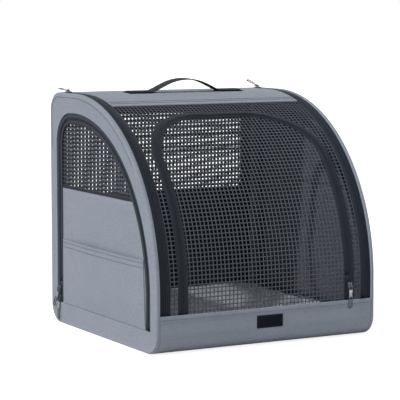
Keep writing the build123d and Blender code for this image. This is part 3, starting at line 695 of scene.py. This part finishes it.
# Front zip: the same tapes and coil, sewn to the net round the door. The outer half is fixed, and
# at its lower right end both halves are sewn down under the parked slider.
FRONT_ZIP_X, FRONT_LEG = 0.179, 0.2545


def bent_on_front(bm):
    """Bend a flat pattern onto the curved front: its Y goes up the curve, and its -Z is depth."""
    for vert in bm.verts:
        height, depth = vert.co.y * math.sqrt(2), -vert.co.z
        radius = 0.350 - depth
        if height < depth - 0.120:
            vert.co.y, vert.co.z = depth - 0.230, height + 0.230 - depth
        else:
            turn = math.pi / 4 + math.asin((height - 0.230) / (math.sqrt(2) * radius))
            vert.co.y = CURVE[1] - radius * math.cos(turn)
            vert.co.z = CURVE[2] + radius * math.sin(turn)


def front_half_zip(bm, half, top_of_park=0.0):
    """One half of the front zip, outer (-1) or inner (1), from its right foot to its left one."""
    start = -0.111 + top_of_park
    line = section(bm, [(FRONT_ZIP_X - half * off, start, -depth) for off, depth in HALF_ZIP])
    left = FRONT_LEG - top_of_park
    follow(bm, line, [((0, left / 30, 0), 30), ((0.050, 0.1435, 0), 90, 24), ((-0.005, 0, 0), 20),
                      ((-0.050, 0.1435, 0), 90, 24), ((0, -FRONT_LEG / 30, 0), 30)], axis=(0, 0, 1))


fixed_half = bmesh.new()
front_half_zip(fixed_half, -1)
parked = section(fixed_half, [(FRONT_ZIP_X - off, -0.111, -depth) for off, depth in PARKED])
follow(fixed_half, parked, [((0, 0.0344 / 6, 0), 6)], axis=(0, 0, 1))
coil_faces(fixed_half, FRONT_ZIP_X)
bent_on_front(fixed_half)
outwards(fixed_half)
front_zip_fixed = made("front_zip_outer_half", fixed_half, "root", [zip_tape, coil_nylon],
                       wall=0.001)
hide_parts("front_zip_fixed")
moving_half = bmesh.new()
front_half_zip(moving_half, 1, 0.0350)
strip_by_park = section(moving_half, [(0.1714, -0.1105, -0.002), (0.1685, -0.1105, -0.002)])
follow(moving_half, strip_by_park, [((0, 0.0350 / 6, 0), 6)], axis=(0, 0, 1))
coil_faces(moving_half, FRONT_ZIP_X)
bent_on_front(moving_half)
outwards(moving_half)
front_zip_door = made("front_zip_inner_half", moving_half, "front_door", [zip_tape, coil_nylon],
                      wall=0.001)
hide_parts("front_zip_door", "front_zip_door_coil")

# Side doors: a panel of grey cloth with a net above it, lined in the right door, and a zip round
# both. A door folds down on a strip of cloth at its foot. A slip pocket is sewn over the panel, a
# little full at its mouth.
DOOR_FRONT, DOOR_REAR = -0.194, 0.189


def side_half_zip(bm, half, rear_foot=0.042):
    """One half of the side zip, from its front foot round to its rear one."""
    line = section(bm, [(0.235 - depth, DOOR_FRONT + half * off, 0.042 + (half > 0) * 0.0008)
                        for off, depth in (HALF_ZIP if half > 0 else SEWN_IN)], direction=(0, 1, 0))
    follow(bm, line, round_door(48, rear_foot, 24))


def side_inset(y, z):
    """How far a point lies inside the outer edge of the side zip."""
    if z < DOOR_ARC[2]:
        return min(y + 0.205, 0.200 - y)
    if y > DOOR_CORNER[1] and z > DOOR_CORNER[2]:
        return 0.060 - math.hypot(y - DOOR_CORNER[1], z - DOOR_CORNER[2])
    return min(0.320 - math.hypot(y - DOOR_ARC[1], z - DOOR_ARC[2]), 0.200 - y)


def drawn_in(bm):
    """Draw what lies under the fixed half of the zip in, to the door's own tape."""
    for vert in bm.verts:
        if side_inset(vert.co.y, vert.co.z) < 0.0125:
            for centre, radius in ((Vector(DOOR_ARC), 0.3075), (Vector(DOOR_CORNER), 0.0475)):
                off = Vector((0, vert.co.y, vert.co.z)) - centre
                if radius > 0.1 or (off.y > 0 and off.z > 0):
                    pull = min(1, radius / off.length)
                    vert.co.y, vert.co.z = centre.y + off.y * pull, centre.z + off.z * pull
            vert.co.y = min(vert.co.y, 0.1875)


def filled_out(bm):
    """Let cloth that lies flat on the door stand out as the pocket does, fullest below its mouth."""
    for vert in bm.verts:
        up = (vert.co.z - 0.0432) / 0.1258
        level = math.sin(min(up / 0.3, 1) * math.pi / 2) * (0.0052 + 0.0008 * up)
        bow = max(1 - ((vert.co.y + 0.0025) / 0.1785) ** 2, 0) ** 0.8
        slack = 0.0006 * math.sin(vert.co.y * 42) * up ** 2
        vert.co.x += bow * (level + slack)
        vert.co.y += 0.007 * up * (0.176 - vert.co.y) / 0.357


SIDEWAYS = Matrix.Rotation(math.radians(90), 4, "Z") @ UPRIGHT
for side, sign in (("left", -1), ("right", 1)):
    outer = bmesh.new()
    side_half_zip(outer, -1)
    parked = section(outer, [(0.235 - depth, DOOR_REAR - off, 0.042) for off, depth in PARKED],
                     direction=(0, 1, 0))
    follow(outer, parked, [((0, 0, 0.007), 6)])
    coil_faces(outer, DOOR_FRONT)
    outwards(outer, (0.1, 0, 0.2))
    mirrored(outer, sign)
    side_zip_fixed = made(f"side_zip_outer_half_{side}", outer, "root", [side_zip_tape, coil_nylon],
                          wall=0.001)
    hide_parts(f"side_zip_fixed_{side}")
    inner = bmesh.new()
    side_half_zip(inner, 1, 0.0852)
    by_park = section(inner, [(0.233, 0.1814, 0.0428), (0.233, 0.178, 0.0428)], direction=(0, 1, 0))
    follow(inner, by_park, [((0, 0, 0.0424 / 4), 4)])
    coil_faces(inner, DOOR_FRONT)
    outwards(inner, (0.1, 0, 0.2))
    mirrored(inner, sign)
    side_zip_door = made(f"side_zip_inner_half_{side}", inner, f"side_door_{side}",
                         [side_zip_tape, coil_nylon], wall=0.001)
    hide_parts(f"side_zip_door_{side}", f"side_zip_door_coil_{side}")

    cloth = bmesh.new()
    follow(cloth, section(cloth, [(0.2318, -0.187, 0.0428), (0.2318, 0.182, 0.0428)], 30, (0, 1, 0)),
           [((0, 0, 0.0129), 18)])
    for vert in cloth.verts:
        if side_inset(vert.co.y, vert.co.z) < 0.018:
            above = max(vert.co.z - DOOR_ARC[2], 0)
            on_arc = DOOR_ARC[1] - math.sqrt(0.302 ** 2 - above ** 2)
            vert.co.y = on_arc if vert.co.y < 0 else 0.182
    outwards(cloth, (0.1, 0, 0.2))
    mirrored(cloth, sign)
    door_cloth = made(f"side_door_cloth_{side}", cloth, f"side_door_{side}",
                      [grey_cloth, wall_lining], wall=0.0025, lining=1)
    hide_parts(f"side_door_panel_{side}")

    fold = bmesh.new()
    follow(fold, section(fold, [(0.2326, -0.1865, 0.0380), (0.2326, 0.1815, 0.0380)], 30, (0, 1, 0)),
           [((0, 0, 0.0005), 20)])
    outwards(fold, (0.1, 0, 0.04))
    mirrored(fold, sign)
    door_fold = made(f"side_door_fold_{side}", fold, None, [grey_cloth], wall=0.0007)
    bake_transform(door_fold, "root", f"side_door_{side}", start=(sign * 0.2326, 0, 0.0405),
             end=(sign * 0.2326, 0, 0.0445))

    yarns = bmesh.new()
    laid_net(yarns, 18 * PITCH, 44 * PITCH, 44, 18, (0.2309, 0, 0.277 + 9 * PITCH), SIDEWAYS)
    netted(yarns, lambda middle: side_inset(middle.y, middle.z) > 0.0135, (0, 0, 0.33), 0.0028)
    drawn_in(yarns)
    mirrored(yarns, sign)
    side_net = made(f"side_door_yarns_{side}", yarns, f"side_door_{side}", [yarn], wall=0.0015,
                    flat=True)
    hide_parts(f"side_door_net_{side}")

    if side == "right":
        backing = bmesh.new()
        laid_net(backing, 18 * PITCH, 44 * PITCH, 60, 24, (0.2282, 0, 0.276 + 9 * PITCH), SIDEWAYS)
        outside = [face for face in backing.faces if side_inset(*face.calc_center_median().yz) < 0.0125]
        bmesh.ops.delete(backing, geom=outside, context="FACES")
        drawn_in(backing)
        outwards(backing, (0.1, 0, 0.2))
        window_lining = made("side_window_lining_right", backing, "side_door_right",
                             [wall_lining], wall=0.0006)

    hem = bmesh.new()
    follow(hem, section(hem, [(0.2326, -0.1415, 0.2722), (0.2326, 0.1785, 0.2722)], 20, (0, 1, 0)),
           [((0, 0, 0.0028), 2)])
    outwards(hem, (0.1, 0, 0.2))
    mirrored(hem, sign)
    made(f"side_net_hem_{side}", hem, f"side_door_{side}", [webbing_black], wall=0.0008, edge=0.0003)

    pocket = bmesh.new()
    follow(pocket, section(pocket, [(0.2342, -0.181, 0.0427), (0.2342, 0.176, 0.0427)], 40, (0, 1, 0)),
           [((-0.0005, 0, 0.0008), 1), ((0, 0, 0.0062), 18), ((0, 0, 0.0021), 1), ((0, 0, 0.0062), 2)])
    outwards(pocket, (0.1, 0, 0.1))
    filled_out(pocket)
    mirrored(pocket, sign)
    side_pocket = made(f"side_pocket_cloth_{side}", pocket, f"side_door_{side}", [grey_cloth],
                       wall=0.0014, edge=0.0004)
    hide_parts(f"side_pocket_{side}")
    sewing = bmesh.new()
    for height in (0.1555, 0.1645):
        stitches(sewing, (0.2340, -0.1790, height), (0, 1, 0), [((0, STITCH, 0), 107)], (1, 0, 0))
    filled_out(sewing)
    mirrored(sewing, sign)
    made(f"side_pocket_stitches_{side}", sewing, f"side_door_{side}", [pale_thread], flat=True)

# Sliders: cast zinc with a nickel finish, a plate over the coil with two flanges beside it, and a
# bridge for the pull. Each pull is an eye, a short tab and a long open loop, pressed together.
# Painted reflection: the nickel is given a darker tone than it has, for the dark surroundings that its polish
# reflects.
nickel_painted_dark_reflection = metal("nickel_painted_dark_reflection", (0.13, 0.135, 0.15), 700, 4, 0.22, 0.42, marks=0.0001)
# Painted reflection: a brighter tone of the same nickel, for the bright reflection on the flat of each pull's
# tab.
nickel_painted_bright_reflection = metal("nickel_painted_bright_reflection", (0.46, 0.46, 0.49), 700, 4, 0.22, 0.42, marks=0.0001)


def block(bm, low, high, round_off):
    """A block between two corners, with its edges rounded."""
    low, high = Vector(low), Vector(high)
    rounded_box(bm, Matrix.Translation((low + high) / 2), high - low, round_off)


def ring(bm, radius, where):
    """A small round section that a wire or a bridge starts from."""
    verts = bmesh.ops.create_circle(bm, segments=8, radius=radius, matrix=where)["verts"]
    return verts + list({edge for vert in verts for edge in vert.link_edges})


def wire(bm, start, runs, axis, closed=False):
    """Carry a round section along runs about one axis."""
    for run in runs:
        start = bmesh.ops.spin(bm, geom=start, axis=axis, **motion(run))["geom_last"]
    if closed:
        bmesh.ops.remove_doubles(bm, verts=bm.verts, dist=MERGE)


def zip_slider():
    """A slider on its own X and Y, with Y up the zip and Z out of the cloth."""
    bm = bmesh.new()
    block(bm, (-0.0046, -0.0068, 0.0004), (0.0046, 0.0068, 0.0020), 0.0006)
    for vert in bm.verts:
        vert.co.x *= 1 - 0.18 * max(0, -vert.co.y / 0.0068)
    for hand in (-1, 1):
        block(bm, (hand * 0.0032 if hand > 0 else -0.0047, -0.0062, -0.0013),
              (0.0047 if hand > 0 else -0.0032, 0.0062, 0.0008), 0.0004)
    bridge = ring(bm, 0.0010, Matrix.Translation((0, -0.0042, 0.0016)))
    wire(bm, bridge, [((0, 0, 0.0016), 1), ((0, -0.0022, 0.0032), -90, 4), ((0, 0.0022, 0), 2),
                      ((0, 0.0022, 0.0032), -90, 4), ((0, 0, -0.0016), 1)], (1, 0, 0))
    bmesh.ops.recalc_face_normals(bm, faces=bm.faces)
    return bm


def zip_pull(aside=0):
    """A pull whose eye hangs on the hinge at the origin, along -Y, turned aside about the eye."""
    bm = bmesh.new()
    eye = ring(bm, 0.0010, Matrix.Translation((0.0042, -0.0042, 0)) @ UPRIGHT)
    bmesh.ops.spin(bm, geom=eye, cent=(0, -0.0042, 0), axis=(0, 0, 1), angle=math.radians(360), steps=20,
                   use_merge=True)
    block(bm, (-0.0033, -0.0225, -0.0008), (0.0033, -0.0080, 0.0008), 0.0005)
    # Painted reflection: most of the tab takes the brighter nickel; the eye, the tab's top edge and the loop
    # made after keep the darker one.
    for face in bm.faces:
        face.material_index = int(face.calc_center_median().y < -0.0105)
    loop = ring(bm, 0.0011, Matrix.Translation((0.0034, -0.0242, 0)) @ UPRIGHT)
    wire(bm, loop, [((0, -0.0076, 0), 2), ((0, -0.0394, 0), -180, 10), ((0, 0.0076, 0), 2),
                    ((0, -0.0242, 0), -180, 10)], (0, 0, 1), closed=True)
    bmesh.ops.recalc_face_normals(bm, faces=bm.faces)
    turned = Matrix.Rotation(math.radians(aside), 3, "Z")
    bmesh.ops.rotate(bm, verts=bm.verts, cent=(0, -0.0042, 0), matrix=turned)
    return bm


def seated(bm, name, body, origin, up, out, hinged=False, tilt=0, sign=1):
    """Put a slider or a pull on its zip, and let it stand for its CAD node."""
    up, out = Vector(up), Vector(out)
    place = Matrix.Translation(origin) @ Matrix((up.cross(out), up, out)).transposed().to_4x4()
    if hinged:
        place = place @ Matrix.Translation((0, 0.0006, 0.00345)) @ Matrix.Rotation(math.radians(tilt), 4, "X")
    bmesh.ops.transform(bm, matrix=place, verts=bm.verts)
    mirrored(bm, sign)
    piece = made(name, bm, body, [nickel_painted_dark_reflection, nickel_painted_bright_reflection])
    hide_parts(body)


at = (FRONT_ZIP_X, -0.230, 0.100)
seated(zip_slider(), "front_slider_metal", "front_slider", at, (0, 0, 1), (0, -1, 0))
seated(zip_pull(), "front_pull_metal", "front_pull", at, (0, 0, 1), (0, -1, 0), hinged=True)
for side, sign, tilt in (("left", -1, -3), ("right", 1, -15)):
    at = (ARC_ZIP_X, 0.182, 0.460)
    seated(zip_slider(), f"arc_slider_metal_{side}", f"arc_slider_{side}", at, (0, -1, 0), (0, 0, 1),
           sign=sign)
    seated(zip_pull(), f"arc_pull_metal_{side}", f"arc_pull_{side}", at, (0, -1, 0), (0, 0, 1),
           hinged=True, tilt=tilt, sign=sign)
    for level, height, aside in (("lower", 0.050, 0), ("upper", 0.068, 36)):
        at = (0.235, DOOR_REAR, height)
        seated(zip_slider(), f"side_{level}_slider_metal_{side}", f"side_{level}_slider_{side}", at,
               (0, 0, 1), (1, 0, 0), sign=sign)
        seated(zip_pull(aside), f"side_{level}_pull_metal_{side}", f"side_{level}_pull_{side}", at,
               (0, 0, 1), (1, 0, 0), hinged=True, sign=sign)
